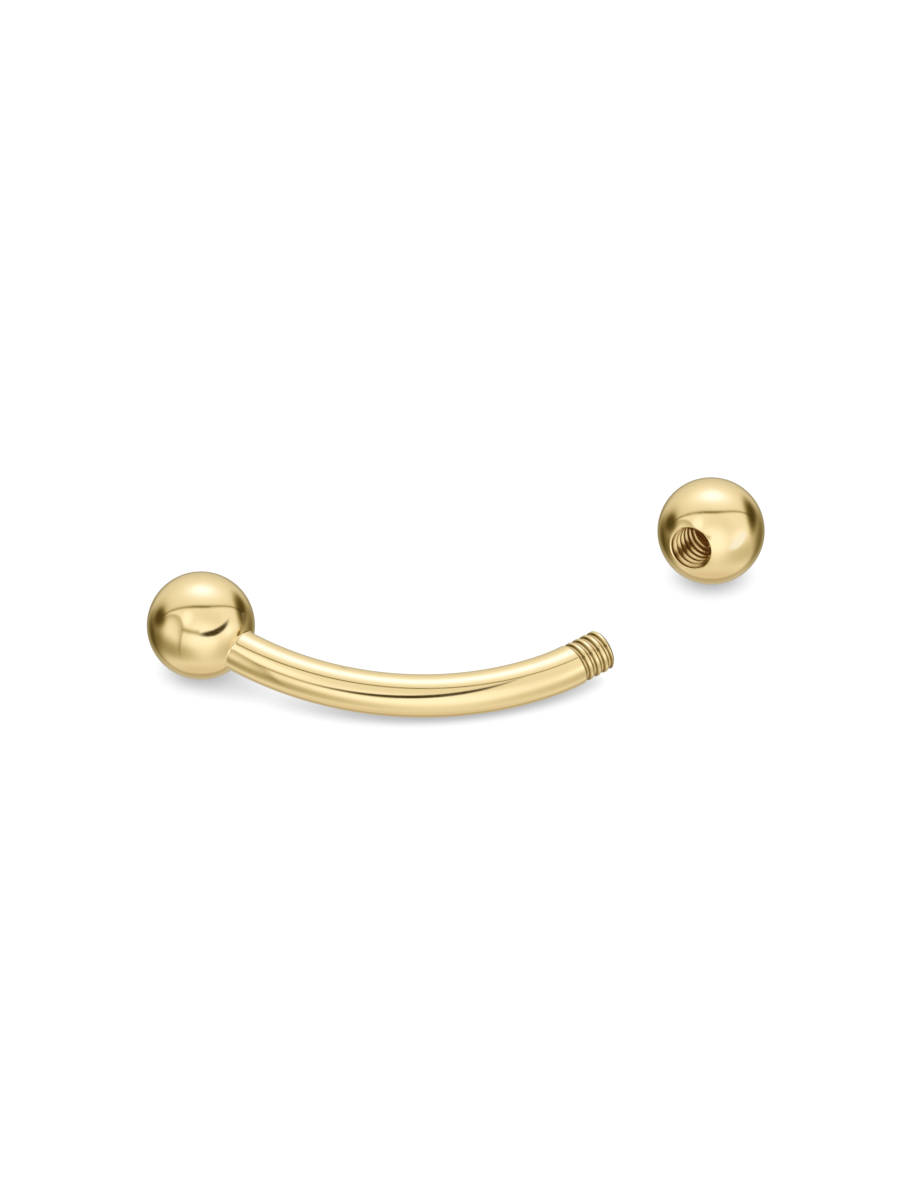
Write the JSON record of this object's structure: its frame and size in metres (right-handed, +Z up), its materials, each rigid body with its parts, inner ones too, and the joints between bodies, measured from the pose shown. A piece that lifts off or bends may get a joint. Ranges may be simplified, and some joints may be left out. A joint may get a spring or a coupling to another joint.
{
  "type": "curved eyebrow barbell",
  "caption": "Bent round bar with a fixed ball on one end and a short thread on the other, its screw ball taken off and lying beside it.",
  "frame": {"origin": "centre of the underside of the box round both pieces, on the surface that they lie on", "axes": "+Z up from that surface, +X along the line from the fixed ball to the bar's threaded tip, -Y to the bulging side of the bend"},
  "size_m": [0.017, 0.009, 0.003],
  "materials": {
    "bar_gold": "polished",
    "ball_gold": "polished"
  },
  "bodies": {
    "root": {"ball_ended_bar": "bar_gold", "screw_ball": "ball_gold"}
  },
  "joints": []
}
